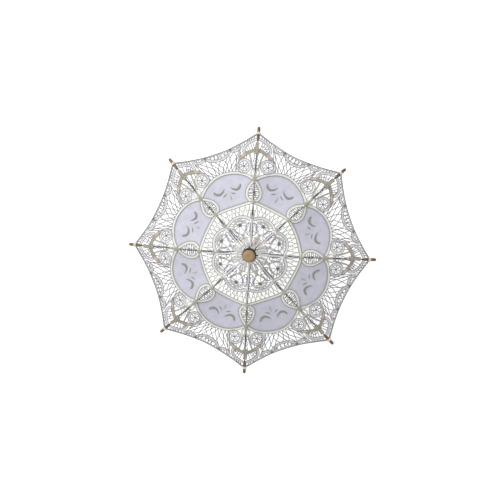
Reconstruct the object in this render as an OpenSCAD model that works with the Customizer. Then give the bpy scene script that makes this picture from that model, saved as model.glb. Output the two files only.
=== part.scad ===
// Small lace parasol: turned wooden stick, eight bowed steel ribs with stretchers on a sliding
// runner, and a lace canopy whose sixteen half gores fold outwards along the ribs.
// +Z runs up the stick, the origin is at the middle of the handle's foot, rib 1 points along +X.

/* [Overall] */
// Diameter across opposite rib tips with the canopy open
span_d = 380; // [360:5:400]
// Length from the handle's foot to the top of the finial
overall_h = 310; // [310:1:320]
// How far a rib tip hangs below the rib's pivot
rib_drop = 64; // [58:1:70]
// Bow of a rib above the straight line between its ends
rib_bow = 6; // [4:0.5:7]

/* [Stick] */
// Radius of the wooden shaft
shaft_r = 4.5; // [4.2:0.1:4.6]
// Height of the top of the handle
handle_h = 84; // [80:1:86]
// Radius of the handle's straight grip
grip_r = 8; // [7:0.5:9]
// Radius of the finial's knob
finial_r = 8.5; // [7:0.5:10]

/* [Frame] */
// Radius of the circle of pivots at the notch and at the runner
pivot_r = 9.5; // [9.5:0.1:10]
// Radius of the rib and stretcher wires
wire_r = 0.9; // [0.8:0.05:1]
// Length of a wooden rib tip
tip_len = 23.5; // [18:0.5:28]
// Radius of a wooden rib tip
tip_r = 2.5; // [2.2:0.1:2.8]
// Distance along the rib's arc from its pivot to its stretcher joint, in degrees of that arc
joint_arc = 6.35; // [6:0.05:6.6]

/* [Canopy] */
// Radius at which a canopy corner is tied to its rib tip
corner_r = 180; // [172:1:186]
// How far the hem curves in between two corners
hem_sag = 9.7; // [8:0.1:16]
// How far a gore's midline sinks below a straight panel
gore_sag = 5; // [2:0.5:6]
// Thickness of the lace and its tapes
cloth_t = 0.8; // [0.6:0.1:1]

/* [Hidden] */
ribs = 8;
step = 360 / ribs;
half = step / 2;
pivot_z = overall_h - 27;
run_gap = 0.1;
ring_r = 0.5;
eye_r = 1.6;
eye_t = 1.2;
slot_w = 2.5;
slot_r = 7.3;

// The rib's arc, in the upright plane of its own azimuth: x outwards, z up.
chord_x = span_d / 2 - pivot_r;
chord = sqrt(pow(chord_x, 2) + pow(rib_drop, 2));
chord_slope = atan(rib_drop / chord_x);
arc_r = pow(chord, 2) / (8 * rib_bow) + rib_bow / 2;
arc_half = asin(chord / (2 * arc_r));
arc_in = chord_slope - arc_half;
arc_out = chord_slope + arc_half;
arc_cx = pivot_r - arc_r * sin(arc_in);
arc_cz = pivot_z - arc_r * cos(arc_in);
function arc_point(a, lift = 0) = [arc_cx + (arc_r + lift) * sin(a), 0, arc_cz + (arc_r + lift) * cos(a)];
function arc_deg(len) = len / arc_r * 180 / PI;

// The stretcher joint hangs under the rib, and the runner's pivot mirrors the notch's.
joint_drop = 2.6;
joint_a = arc_in + joint_arc;
joint = arc_point(joint_a, -joint_drop);
runner_z = 2 * joint[2] - pivot_z;
stretch_len = norm([joint[0] - pivot_r, joint[2] - runner_z]);
stretch_rise = atan((joint[2] - runner_z) / (joint[0] - pivot_r));
rivet_r = 0.75;
ear_t = 0.8;
ear_y = eye_t / 2 + 0.15;

// Heights on the stick.
notch_top = pivot_z + 1.8;
crown_z = notch_top + 1;
crown_t = 1.4;
finial_z = crown_z + crown_t;
tenon_r = 2.5;
tenon_len = 8;
flange_h = 3.4;
sleeve_len = 22;
catch_top = runner_z - sleeve_len - 0.3;
catch_len = 15;
pin_z = runner_z + flange_h + 1.2;

// The canopy: ruled lines run level from rib to rib, and the cloth lies a little above the ribs.
cloth_lift = 1.5;
cloth_in = 24;
seam_gap = 5.2;
fold_n_in = rib_bow + 1.5;
fold_n_out = 1.5;
flap_u = 12;
flap_v = 4;
function cloth_z(x) = arc_cz + sqrt(pow(arc_r + cloth_lift, 2) - pow(x - arc_cx, 2));
function hem_x(q) = corner_r - hem_sag / cos(half) * (1 - pow(1 - q, 2));
// Height of the cloth above the line that a half gore folds about, along the rib.
function over_fold(x) = let (u = (x - pivot_r) / chord_x)
    cloth_lift + 4 * rib_bow * u * (1 - u) - fold_n_in + (fold_n_in - fold_n_out) * u;
// The half gore starts this far from its rib, so that it never crosses it when it folds.
function inset(x) = 2.8 + 1.7 * max(0, over_fold(x) + cloth_t);
function flap_point(u, q, top) =
    let (x = cloth_in + u * (hem_x(q) - cloth_in), w0 = inset(x), w = w0 + q * (x * sin(half) - seam_gap - w0),
         s = w / (x * sin(half)), sag = gore_sag * sin(180 * (x - pivot_r) / chord_x) * (1 - pow(1 - s, 2)))
    [x - w * sin(half), w * cos(half), cloth_z(x) - sag + (top ? cloth_t : 0)];

module at_rib(i) { rotate([0, 0, step * (i - 1)]) children(); }

// A disc across the rib's plane, drilled for a ring or a rivet.
module across(r, t) { rotate([90, 0, 0]) cylinder(r = r, h = t, center = true, $fn = 48); }

// A plain ring of round wire about the stick.
module wire_ring(r, wire) { rotate_extrude($fn = 96) translate([r, 0]) circle(r = wire, $fn = 24); }

// A solid round disc about the stick with a rounded rim.
module round_disc(r, rim) {
    rotate_extrude($fn = 96) intersection() {
        union() {
            translate([r - rim, 0]) circle(r = rim, $fn = 96);
            translate([0, -rim]) square([r - rim, 2 * rim]);
        }
        translate([0, -rim - 1]) square([r + 1, 2 * rim + 2]);
    }
}

// Eight radial slots and the round tunnel that holds a wire ring.
module notch_cuts(h) {
    for (i = [1:ribs]) at_rib(i) translate([slot_r, -slot_w / 2, -h]) cube([10, slot_w, 2 * h]);
    rotate_extrude($fn = 96) translate([pivot_r, 0]) square(2 * ring_r + 0.1, center = true);
}

module shaft() {
    foot = 20;
    color("burlywood") difference() {
        union() {
            translate([0, 0, foot]) cylinder(r = shaft_r, h = crown_z - foot, $fn = 64);
            translate([0, 0, crown_z]) cylinder(r = tenon_r, h = crown_t + tenon_len, $fn = 48);
        }
        rotate([0, 0, half]) {
            translate([-2.2, -1.2, catch_top - catch_len - 0.4]) cube([10, 2.4, catch_len + 0.8]);
            translate([0, 0, pin_z]) rotate([0, 90, 0]) cylinder(r = 0.92, h = 20, center = true, $fn = 32);
        }
    }
}

module handle_grip() {
    base = 13;
    color("peru") difference() {
        union() {
            translate([0, 0, base]) cylinder(r = grip_r - 1.5, h = handle_h - base - 4, $fn = 64);
            translate([0, 0, base + 8]) cylinder(r = grip_r, h = 49, $fn = 64);
            translate([0, 0, base + 57]) cylinder(r1 = grip_r, r2 = grip_r - 1.5, h = 8, $fn = 64);
            translate([0, 0, base + 4]) wire_ring(grip_r - 2, 1.9);
            translate([0, 0, handle_h - 3]) wire_ring(grip_r - 2.6, 2);
            translate([0, 0, handle_h - 5]) cylinder(r = grip_r - 2.6, h = 4.6, $fn = 64);
        }
        translate([0, 0, base - 1]) cylinder(r = shaft_r + 0.03, h = handle_h, $fn = 64);
    }
}

module handle_foot() {
    color("peru") {
        cylinder(r = grip_r - 3, h = 13, $fn = 64);
        translate([0, 0, 5.5]) round_disc(grip_r, 5.5);
        translate([0, 0, 12.5]) cylinder(r = shaft_r - 0.1, h = 7.5, $fn = 64);
    }
}

module finial() {
    rim_r = 6.2;
    mid_z = overall_h - rim_r;
    color("goldenrod") difference() {
        union() {
            translate([0, 0, finial_z]) cylinder(r = finial_r - 1.5, h = 2.2, $fn = 64);
            translate([0, 0, finial_z + 2]) cylinder(r1 = 5.6, r2 = 4.8, h = 9.6, $fn = 64);
            translate([0, 0, mid_z]) round_disc(finial_r, rim_r);
        }
        translate([0, 0, finial_z - 1]) cylinder(r = tenon_r + 0.03, h = tenon_len + 1, $fn = 48);
    }
}

module crown_washer() {
    color("dimgray") difference() {
        translate([0, 0, crown_z]) cylinder(r1 = finial_r + 1.6, r2 = finial_r + 0.8, h = crown_t, $fn = 72);
        translate([0, 0, crown_z - 1]) cylinder(r = tenon_r + 0.05, h = 4, $fn = 48);
    }
}

module top_notch() {
    color("silver") translate([0, 0, pivot_z]) difference() {
        union() {
            translate([0, 0, -3.4]) cylinder(r = pivot_r + 2.5, h = notch_top - pivot_z + 3.4, $fn = 72);
            translate([0, 0, -9]) cylinder(r = slot_r - 0.6, h = 6, $fn = 64);
        }
        translate([0, 0, -12]) cylinder(r = shaft_r + 0.03, h = 20, $fn = 64);
        notch_cuts(8);
    }
}

module notch_wire() { color("gray") translate([0, 0, pivot_z]) wire_ring(pivot_r, ring_r); }

module runner() {
    color("silver") translate([0, 0, runner_z]) difference() {
        union() {
            translate([0, 0, -flange_h]) cylinder(r = pivot_r + 2.5, h = 2 * flange_h, $fn = 72);
            translate([0, 0, -sleeve_len]) cylinder(r = shaft_r + 1.9, h = sleeve_len, $fn = 64);
            translate([0, 0, -sleeve_len]) cylinder(r = shaft_r + 3.2, h = 3, $fn = 64);
        }
        translate([0, 0, -sleeve_len - 1]) cylinder(r = shaft_r + 0.3, h = sleeve_len + 10, $fn = 64);
        notch_cuts(8);
    }
}

module runner_wire() { color("gray") translate([0, 0, runner_z]) wire_ring(pivot_r, ring_r); }

// A flat spring in the shaft's slot, with a sloping nose that holds the runner up.
module spring_catch() {
    color("silver") rotate([0, 0, half]) translate([0, 0.9, catch_top]) rotate([90, 0, 0])
        linear_extrude(1.8) polygon([[0.6, -catch_len], [2.2, -catch_len], [3.6, -catch_len + 2], [6.6, -0.6],
            [6.6, 0], [2.4, 0], [2.4, -2.2], [1.2, -catch_len + 4]]);
}

module stop_pin() {
    color("silver") rotate([0, 0, half]) translate([0, 0, pin_z]) rotate([0, 90, 0])
        cylinder(r = 0.9, h = 2 * shaft_r + 4, center = true, $fn = 32);
}

module rib() {
    start = arc_in + arc_deg(1.15);
    stop = arc_out - arc_deg(tip_len - 8);
    color("dimgray") difference() {
        union() {
            translate([pivot_r, 0, pivot_z]) across(eye_r, eye_t);
            translate([arc_cx, 0, arc_cz]) rotate([90, 0, 0]) rotate([0, 0, 90 - stop])
                rotate_extrude(angle = stop - start, $fn = 360) translate([arc_r, 0]) circle(r = wire_r, $fn = 24);
            translate(joint) rotate([0, joint_a, 0]) {
                across(1.7, eye_t);
                translate([-1.2, -eye_t / 2, 0]) cube([2.4, eye_t, joint_drop]);
            }
        }
        translate([pivot_r, 0, pivot_z]) across(ring_r + run_gap, 4);
        translate(joint) across(rivet_r + 0.07, 4);
    }
}

module rib_tip() {
    mid = arc_out - arc_deg(tip_len / 2);
    tie_z = tip_len - 12.8;
    color("sienna") translate(arc_point(mid)) rotate([0, 90 + mid, 0]) translate([0, 0, -tip_len / 2]) difference() {
        union() {
            cylinder(r1 = tip_r - 0.8, r2 = tip_r, h = 4, $fn = 48);
            translate([0, 0, 4]) cylinder(r = tip_r, h = tip_len - 4 - tip_r, $fn = 48);
            translate([0, 0, tip_len - tip_r]) sphere(r = tip_r, $fn = 48);
        }
        translate([0, 0, -1]) cylinder(r = wire_r + 0.1, h = 9.05, $fn = 32);
        translate([0, 0, tie_z - 1.2]) difference() {
            cylinder(r = tip_r + 1, h = 2.4, $fn = 48);
            translate([0, 0, -1]) cylinder(r = tip_r - 0.3, h = 4.4, $fn = 48);
        }
    }
}

module stretcher() {
    web = 2.9;
    color("dimgray") translate(joint) rotate([0, 180 - stretch_rise, 0]) difference() {
        union() {
            translate([web, 0, 0]) rotate([0, 90, 0]) cylinder(r = wire_r, h = stretch_len - web - 1.15, $fn = 32);
            translate([web, -ear_y - ear_t, -1.1]) cube([1.8, 2 * (ear_y + ear_t), 2.2]);
            translate([stretch_len, 0, 0]) across(eye_r, eye_t);
            for (side = [-1, 1]) translate([0, side * (ear_y + ear_t / 2), 0]) {
                across(1.6, ear_t);
                translate([0, -ear_t / 2, -1.1]) cube([web + 0.5, ear_t, 2.2]);
            }
        }
        across(rivet_r + 0.02, 8);
        translate([stretch_len, 0, 0]) across(ring_r + run_gap, 4);
    }
}

module joint_rivet() {
    out = ear_y + ear_t;
    color("silver") translate(joint) {
        across(rivet_r, 2 * out + 0.6);
        for (side = [-1, 1]) translate([0, side * (out + 0.3), 0]) across(rivet_r + 0.5, 0.5);
    }
}

// One half gore as a thin shell: a grid of points above and below, walled along its rim.
module half_gore() {
    row = flap_v + 1;
    rows = flap_u + 1;
    layer = row * rows;
    points = [for (top = [1, 0], i = [0:flap_u], j = [0:flap_v]) flap_point(i / flap_u, j / flap_v, top == 1)];
    rim = concat([for (i = [0:flap_u - 1]) i * row], [for (j = [0:flap_v - 1]) flap_u * row + j],
        [for (i = [0:flap_u - 1]) (flap_u - i) * row + flap_v], [for (j = [0:flap_v - 1]) flap_v - j]);
    n = len(rim);
    faces = concat(
        [for (i = [0:flap_u - 1], j = [0:flap_v - 1], k = [0, 1]) let (a = i * row + j)
            k == 0 ? [a, a + row, a + 1] : [a + row, a + row + 1, a + 1]],
        [for (i = [0:flap_u - 1], j = [0:flap_v - 1], k = [0, 1]) let (a = layer + i * row + j)
            k == 0 ? [a, a + 1, a + row] : [a + row, a + 1, a + row + 1]],
        [for (k = [0:n - 1], m = [0, 1]) let (a = rim[k], b = rim[(k + 1) % n])
            m == 0 ? [a, b + layer, b] : [a, a + layer, b + layer]]);
    color("ivory") polyhedron(points = points, faces = faces);
}

shaft();
handle_grip();
handle_foot();
finial();
crown_washer();
top_notch();
notch_wire();
runner();
runner_wire();
spring_catch();
stop_pin();
for (i = [1:ribs]) {
    at_rib(i) rib();
    at_rib(i) rib_tip();
    at_rib(i) stretcher();
    at_rib(i) joint_rivet();
    at_rib(i) half_gore();
    at_rib(i + 1) mirror([0, 1, 0]) half_gore();
}
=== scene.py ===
"""A small lace parasol, dressed around its CAD frame.

The wooden and metal parts sit where the frame says. The canopy is worked out as a flat
pattern of threads, tapes and cloth, which is laid on one continuous curved surface over the
eight ribs and then cut along the ribs and seams into sixteen half gores.

Lengths are millimetres and angles degrees unless a name says otherwise. Meshes are metres.
"""

import logging
import math
from collections.abc import Sequence
from dataclasses import dataclass, field
from enum import Enum
from functools import cached_property

import bpy
import numpy as np
from mathutils import Matrix, Vector


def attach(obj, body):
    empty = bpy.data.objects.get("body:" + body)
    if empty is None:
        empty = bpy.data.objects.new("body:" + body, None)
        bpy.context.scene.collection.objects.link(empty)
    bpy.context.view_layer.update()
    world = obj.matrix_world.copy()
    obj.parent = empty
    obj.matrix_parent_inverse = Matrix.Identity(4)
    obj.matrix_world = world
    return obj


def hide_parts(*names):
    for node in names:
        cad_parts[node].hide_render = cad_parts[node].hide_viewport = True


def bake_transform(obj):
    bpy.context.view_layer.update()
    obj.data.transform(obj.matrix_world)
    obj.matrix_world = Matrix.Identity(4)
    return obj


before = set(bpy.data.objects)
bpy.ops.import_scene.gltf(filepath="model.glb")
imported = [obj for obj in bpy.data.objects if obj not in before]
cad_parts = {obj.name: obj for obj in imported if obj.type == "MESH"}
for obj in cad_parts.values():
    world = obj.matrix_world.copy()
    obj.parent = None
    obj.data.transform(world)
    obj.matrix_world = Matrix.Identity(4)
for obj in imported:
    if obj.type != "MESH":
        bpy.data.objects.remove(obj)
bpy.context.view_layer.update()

LOG = logging.getLogger("parasol")
MM = 0.001
GORES = 8
GORE_DEG = 360 / GORES
HALF_DEG = GORE_DEG / 2
HALF = math.radians(HALF_DEG)
SHARP_DEG = 72.0  # edges that turn more than this are shaded sharp
THREAD_LIFT = -0.2  # single threads lie a little under the tapes they meet
Array = np.ndarray


# ---------------------------------------------------------------- lines in the plan


def polar(radius: float, degrees: float) -> Array:
    """The plan point at a radius and an azimuth."""
    a = math.radians(degrees)
    return np.array([radius * math.cos(a), radius * math.sin(a)])


def turned(points: Array, degrees: float) -> Array:
    """Plan points, turned about the stick.

    Args:
        points: plan points, one a row.
        degrees: the turn, counter-clockwise.

    Returns:
        The turned points.
    """
    a = math.radians(degrees)
    c, s = math.cos(a), math.sin(a)
    p = np.atleast_2d(np.asarray(points, float))
    return p @ np.array([[c, s], [-s, c]])


def mirrored(points: Array) -> Array:
    """Plan points, mirrored across the x axis."""
    return np.asarray(points, float) * [1, -1]


def arc(start: Array, end: Array, rise: float, count: int = 33) -> Array:
    """A circular arc in the plan.

    The chord's half length and the rise give the radius, (c^2 + h^2) / 2h, and points stand
    at equal angles along it.

    Args:
        start: first point.
        end: last point.
        rise: how far the middle stands to the right of the way from start to end.
        count: how many points.

    Returns:
        The points, one a row.
    """
    p, q = np.asarray(start, float), np.asarray(end, float)
    half = np.linalg.norm(q - p) / 2
    way = (q - p) / (2 * half)
    right = np.array([way[1], -way[0]])
    h = abs(rise)
    radius = (half**2 + h**2) / (2 * h)
    a = np.linspace(-1, 1, count) * math.asin(min(1.0, half / radius))
    out = (radius * np.cos(a) - radius + h) * math.copysign(1, rise)
    return p + (half + radius * np.sin(a))[:, None] * way + out[:, None] * right


def spline(points: Sequence, closed: bool = False, per: int = 8) -> Array:
    """A smooth line through points.

    Each span is the Catmull-Rom cubic of its two ends and their neighbours.

    Args:
        points: the points to pass through, one a row, of any dimension.
        closed: whether the line returns to its first point.
        per: how many steps each span has.

    Returns:
        The line's points, with the first one repeated at the end of a closed line.
    """
    p = np.asarray(points, float)
    ends = [p[-1:], p, p[:2]] if closed else [2 * p[:1] - p[1:2], p, 2 * p[-1:] - p[-2:-1]]
    e = np.vstack(ends)
    n = len(e) - 3
    a, b, c, d = (e[i : i + n, None] for i in range(4))
    t = np.linspace(0, 1, per, endpoint=False)[None, :, None]
    curve = 2 * b + (c - a) * t + (2 * a - 5 * b + 4 * c - d) * t**2 + (3 * b - a - 3 * c + d) * t**3
    return np.vstack([curve.reshape(-1, p.shape[1]) / 2, p[:1] if closed else p[-1:]])


def spiral(centre: Array, radius: float, pitch: float = 0.85) -> Array:
    """A thread wound round a point.

    The radius grows evenly with the angle, by one pitch a turn, so the turns lie side by
    side and make a woven dot.

    Args:
        centre: middle of the dot.
        radius: outer radius of the thread's line.
        pitch: distance between two turns.

    Returns:
        The spiral's points.
    """
    turns = radius / pitch
    a = np.linspace(0.25, turns, max(10, int(turns * 12))) * 2 * math.pi
    r = pitch * a / (2 * math.pi)
    return np.asarray(centre, float) + np.c_[r * np.cos(a), r * np.sin(a)]


def lengths(path: Array) -> Array:
    """Distance along a line at each of its points."""
    return np.r_[0, np.cumsum(np.linalg.norm(np.diff(path, axis=0), axis=1))]


def at(path: Array, share: Array | float) -> Array:
    """Points at given shares, 0 to 1, of a line's length.

    Args:
        path: the line's points.
        share: shares of the line's length.

    Returns:
        The points, one for each share.
    """
    along = lengths(path)
    s = np.clip(share, 0, 1) * along[-1]
    return np.stack([np.interp(s, along, path[:, k]) for k in range(path.shape[1])], axis=-1)


def part_of(path: Array, first: float, last: float, count: int = 25) -> Array:
    """The stretch of a line between two shares of its length."""
    return at(path, np.linspace(first, last, count))


def smooth(x: Array) -> Array:
    """The smooth step 3x^2 - 2x^3, held at 0 below 0 and at 1 above 1."""
    t = np.clip(x, 0, 1)
    return t * t * (3 - 2 * t)


# ---------------------------------------------------------------- the canopy's surface


@dataclass(frozen=True)
class Canopy:
    """The surface that the lace lies on.

    Over a rib it is the rib's own arc, lifted by the cloth. Level straight lines join the
    same height on two neighbouring ribs, and the middle of each gore sinks a little.
    """

    pivot_r: float = 9.5
    pivot_z: float = 283.0
    reach: float = 190.0
    drop: float = 64.0
    bow: float = 6.0
    lift: float = 1.5
    sink: float = 5.0
    corner_r: float = 180.0
    hem_sag: float = 9.7
    hub_z: float = 285.3
    hub_in: float = 12.0
    hub_out: float = 27.0

    @cached_property
    def arc_r(self) -> float:
        """Radius of a rib's arc."""
        chord = math.hypot(self.reach - self.pivot_r, self.drop)
        return chord**2 / (8 * self.bow) + self.bow / 2

    @cached_property
    def centre(self) -> tuple[float, float]:
        """Centre of a rib's arc, outwards and up.

        Returns:
            The distance outwards and the height.
        """
        run = self.reach - self.pivot_r
        chord = math.hypot(run, self.drop)
        a = math.atan2(self.drop, run) - math.asin(chord / (2 * self.arc_r))
        return self.pivot_r - self.arc_r * math.sin(a), self.pivot_z - self.arc_r * math.cos(a)

    def rib_point(self, before_end: float) -> tuple[Array, Array]:
        """A point on rib 1's arc, that far before its outer end, and the way outwards there.

        Args:
            before_end: distance along the arc from its outer end.

        Returns:
            The point and the unit direction.
        """
        cx, cz = self.centre
        a = math.asin((self.reach - cx) / self.arc_r) - before_end / self.arc_r
        point = np.array([cx + self.arc_r * math.sin(a), 0, cz + self.arc_r * math.cos(a)])
        return point, np.array([math.cos(a), 0, -math.sin(a)])

    def height(self, plan: Array) -> Array:
        """Height of the surface.

        A plan point is turned into its nearest rib's own frame, where the level line
        through it meets the rib at x = X + |Y| tan(half gore). The rib's arc gives the
        height there, and the sink grows from the rib to the seam as 1 - (1 - s)^2, where
        s is the share of the way. Near the stick it rises to lie under the crown.

        Args:
            plan: plan points, one a row.

        Returns:
            The height at each point.
        """
        cx, cz = self.centre
        az = np.arctan2(plan[:, 1], plan[:, 0])
        off = np.abs(az - np.round(az / (2 * HALF)) * 2 * HALF)
        r = np.hypot(plan[:, 0], plan[:, 1])
        side = r * np.sin(off)
        x = r * np.cos(off) + side * math.tan(HALF)
        s = side / math.cos(HALF) / np.maximum(x * math.sin(HALF), 1e-6)
        z = cz + np.sqrt((self.arc_r + self.lift) ** 2 - (x - cx) ** 2)
        u = np.clip((x - self.pivot_r) / (self.reach - self.pivot_r), 0, 1)
        z = z - self.sink * np.sin(math.pi * u) * (1 - (1 - s) ** 2)
        w = smooth((x - self.hub_in) / (self.hub_out - self.hub_in))
        return self.hub_z * (1 - w) + z * w

    def normals(self, plan: Array) -> Array:
        """Upward unit normals, from the slopes between points 1.2 mm apart.

        Args:
            plan: plan points, one a row.

        Returns:
            The normals, one a row.
        """
        h = 0.6
        sx = self.height(plan + [h, 0]) - self.height(plan - [h, 0])
        sy = self.height(plan + [0, h]) - self.height(plan - [0, h])
        n = np.c_[-sx, -sy, np.full(len(plan), 2 * h)]
        return n / np.linalg.norm(n, axis=1, keepdims=True)

    def lay(self, plan: Array, lift: Array | float = 0.0) -> tuple[Array, Array]:
        """Plan points laid on the surface, lifted along its normal, and the normals.

        Args:
            plan: plan points, one a row.
            lift: height above the surface.

        Returns:
            The laid points and their normals.
        """
        n = self.normals(plan)
        raised = np.broadcast_to(np.asarray(lift, float), len(plan))[:, None] * n
        return np.c_[plan, self.height(plan)] + raised, n

    def hem(self, share: Array, inside: float = 0.0) -> Array:
        """The hem in a gore's own frame.

        The share runs from -1 at one corner over 0 at the seam to 1 at the other. At the
        rib coordinate x = corner - sag (1 - share^2) / cos(half), the level line runs
        the share 1 - |share| of the way to the seam.

        Args:
            share: where along the hem.
            inside: how far inside the hem.

        Returns:
            Plan points in the frame whose x axis is the seam.
        """
        t = np.atleast_1d(np.asarray(share, float))
        s = 1 - np.abs(t)
        x = self.corner_r - self.hem_sag / math.cos(HALF) * (1 - (1 - s) ** 2) - inside
        w = s * x * math.sin(HALF)
        own = turned(np.c_[x - w * math.sin(HALF), w * math.cos(HALF)], -HALF_DEG)
        return np.c_[own[:, 0], own[:, 1] * np.where(t > 0, -1, 1)]


CANOPY = Canopy()


# ---------------------------------------------------------------- meshes


@dataclass
class MeshParts:
    """Vertices, faces and vertex attributes, gathered until a mesh is written."""

    points: list[Array] = field(default_factory=list)
    quads: list[Array] = field(default_factory=list)
    caps: list[Array] = field(default_factory=list)
    values: dict[str, list[Array]] = field(default_factory=dict)
    count: int = 0

    def add(self, points: Array, quads: Array, caps: Sequence[Array], **values: Array) -> None:
        """Adds one closed surface.

        Args:
            points: its vertices in millimetres, one a row.
            quads: its four-sided faces, as rows of indices into points.
            caps: its other faces.
            **values: a value or a colour for each vertex.
        """
        self.points.append(points)
        self.quads.append(quads + self.count)
        self.caps.extend(np.asarray(c) + self.count for c in caps)
        for key, v in values.items():
            self.values.setdefault(key, []).append(np.asarray(v, float))
        self.count += len(points)

    def write(self, name: str) -> bpy.types.Object:
        """Writes the mesh in metres and links its object, which sits at the origin.

        Args:
            name: name of the mesh and its object.

        Returns:
            The new object.
        """
        mesh = bpy.data.meshes.new(name)
        quads = np.concatenate(self.quads)
        corners = np.concatenate([quads.ravel(), *self.caps]).astype(np.int32)
        sizes = np.r_[np.full(len(quads), 4), [len(c) for c in self.caps]].astype(np.int32)
        mesh.vertices.add(self.count)
        mesh.vertices.foreach_set("co", (np.concatenate(self.points) * MM).astype(np.float32).ravel())
        mesh.loops.add(len(corners))
        mesh.loops.foreach_set("vertex_index", corners)
        mesh.polygons.add(len(sizes))
        mesh.polygons.foreach_set("loop_start", np.r_[0, np.cumsum(sizes)[:-1]].astype(np.int32))
        mesh.polygons.foreach_set("loop_total", sizes)
        is_smooth = np.r_[np.ones(len(quads)), np.zeros(len(self.caps))] > 0
        mesh.polygons.foreach_set("use_smooth", is_smooth)
        for key, parts in self.values.items():
            v = np.concatenate(parts)
            if v.ndim == 1:
                layer = mesh.attributes.new(key, "FLOAT", "POINT").data
                layer.foreach_set("value", v.astype(np.float32))
            else:
                rgba = np.c_[v, np.ones(len(v))].astype(np.float32)
                layer = mesh.attributes.new(key, "FLOAT_COLOR", "POINT").data
                layer.foreach_set("color", rgba.ravel())
        mesh.update(calc_edges=True)
        mesh.set_sharp_from_angle(angle=math.radians(SHARP_DEG))
        mesh.validate()
        obj = bpy.data.objects.new(name, mesh)
        bpy.context.scene.collection.objects.link(obj)
        return obj


def tube_faces(rings: int, around: int, wrap: bool) -> tuple[Array, list[Array]]:
    """Faces of a tube.

    Vertex (i, j) is ring i, point j, and each face joins j to j + 1 round the ring and i
    to i + 1 along the tube. Two many-sided caps close an open tube.

    Args:
        rings: how many rings.
        around: how many points a ring has.
        wrap: whether the last ring joins the first.

    Returns:
        The four-sided faces and the caps.
    """
    spans = rings if wrap else rings - 1
    i, j = np.meshgrid(np.arange(spans), np.arange(around), indexing="ij")
    k, m = (i + 1) % rings, (j + 1) % around
    quads = np.stack([i * around + j, i * around + m, k * around + m, k * around + j], axis=-1)
    ends = [] if wrap else [np.arange(around)[::-1], (rings - 1) * around + np.arange(around)]
    return quads.reshape(-1, 4), ends


# ---------------------------------------------------------------- yarns and tapes


@dataclass(frozen=True)
class Yarn:
    """Two-ply twisted thread.

    The radius at angle a and distance u is r (1 + depth cos 2(a - 2 pi u / pitch)).
    """

    radius: float = 0.48
    pitch: float = 3.4
    depth: float = 0.2
    points: int = 8
    step: float = 0.8

    def rings(self, along: Array) -> Array:
        """Cross-sections (across, up) at the given distances along.

        Args:
            along: distances along the strand.

        Returns:
            The sections, as (ring, point, 2).
        """
        a = np.arange(self.points) / self.points * 2 * math.pi
        twist = 2 * math.pi * along[:, None] / self.pitch
        r = self.radius * (1 + self.depth * np.cos(2 * (a[None, :] - twist)))
        return np.stack([r * np.cos(a), r * np.sin(a)], axis=-1)

    def across(self) -> Array:
        """Where a point stands between the strand's two edges, -1 to 1."""
        return np.zeros(self.points)


@dataclass(frozen=True)
class Tape:
    """Woven tape with a cord along each edge.

    The section is a dog bone: seven points round each edge cord, and a thin flat web that
    joins them. The cords swell and shrink along the tape, one swell for each stitch.
    """

    half: float = 2.6
    cord: float = 0.56
    stitch: float = 1.7
    step: float = 0.85

    def rings(self, along: Array) -> Array:
        """Cross-sections (across, up) at the given distances along.

        Args:
            along: distances along the strand.

        Returns:
            The sections, as (ring, point, 2).
        """
        a = np.radians([140, 90, 40, 0, -40, -90, -140])
        swell = 1 + 0.16 * np.sin(2 * math.pi * along[:, None] / self.stitch)
        x = self.half - self.cord + self.cord * swell * np.cos(a)
        y = self.cord * swell * np.sin(a) * 0.9
        y[:, [0, -1]] *= 0.5
        right = np.stack([x, y], axis=-1)[:, ::-1]
        left = right[:, ::-1] * [-1, 1]
        return np.concatenate([right, left], axis=1)

    def across(self) -> Array:
        """Where a point stands between the tape's two edges, -1 to 1."""
        return self.rings(np.zeros(1))[0, :, 0] / self.half


@dataclass(frozen=True)
class Stitching:
    """Padded satin stitch: a lens that narrows to its ends, with a ridge for each stitch.

    The half width at the share t of the length is half * sin(pi t^lean)^0.7, and at least
    a tenth of half.
    """

    half: float = 2.3
    height: float = 0.75
    lean: float = 1.0
    points: int = 10
    step: float = 0.45

    def rings(self, along: Array) -> Array:
        """Cross-sections (across, up) at the given distances along.

        Args:
            along: distances along the strand.

        Returns:
            The sections, as (ring, point, 2).
        """
        a = np.arange(self.points) / self.points * 2 * math.pi
        t = along / max(along[-1], 1e-6)
        w = np.maximum(0.1, np.sin(math.pi * np.clip(t, 0, 1) ** self.lean) ** 0.7)[:, None]
        ridge = 1 + 0.1 * np.where(np.arange(len(along)) % 2, 1, -1)[:, None]
        x = self.half * w * np.cos(a)
        y = self.height * np.sqrt(w) * ridge * np.sin(a)
        return np.stack([x, y], axis=-1)

    def across(self) -> Array:
        """Satin stitch has no edge of another colour."""
        return np.zeros(self.points)


class Dye(Enum):
    """Colours of the yarns, as linear red, green and blue. MOSS, MOSS_DARK, MAUVE and MAUVE_PALE keep the
    thin threads' grey-green and lavender tints, but are much darker than the white cotton: that darkness
    is painted shade.
    """

    IVORY = (0.82, 0.81, 0.765)
    LILAC_WHITE = (0.76, 0.75, 0.80)
    MOSS = (0.50, 0.515, 0.44)
    MOSS_DARK = (0.20, 0.21, 0.18)
    MOSS_PALE = (0.50, 0.51, 0.42)
    MAUVE = (0.235, 0.23, 0.25)
    MAUVE_PALE = (0.50, 0.49, 0.55)
    SLATE = (0.17, 0.17, 0.185)
    SAND = (0.42, 0.375, 0.30)
    ROSE = (0.62, 0.49, 0.44)
    TAUPE = (0.30, 0.285, 0.26)


THREAD = Yarn(radius=0.56)
FINE = Yarn(radius=0.44, pitch=3.0)
HEM_CORD = Yarn(radius=0.72, pitch=3.6, depth=0.14, step=0.9)
TAPE = Tape()
NARROW = Tape(half=1.35, cord=0.42)
BAND = Tape(half=3.0, cord=0.6)


@dataclass(frozen=True)
class Strand:
    """One yarn or tape of the flat pattern, in the plan."""

    path: Array
    section: Yarn | Tape | Stitching
    dye: Dye
    lift: float = 0.0
    closed: bool = False


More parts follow.
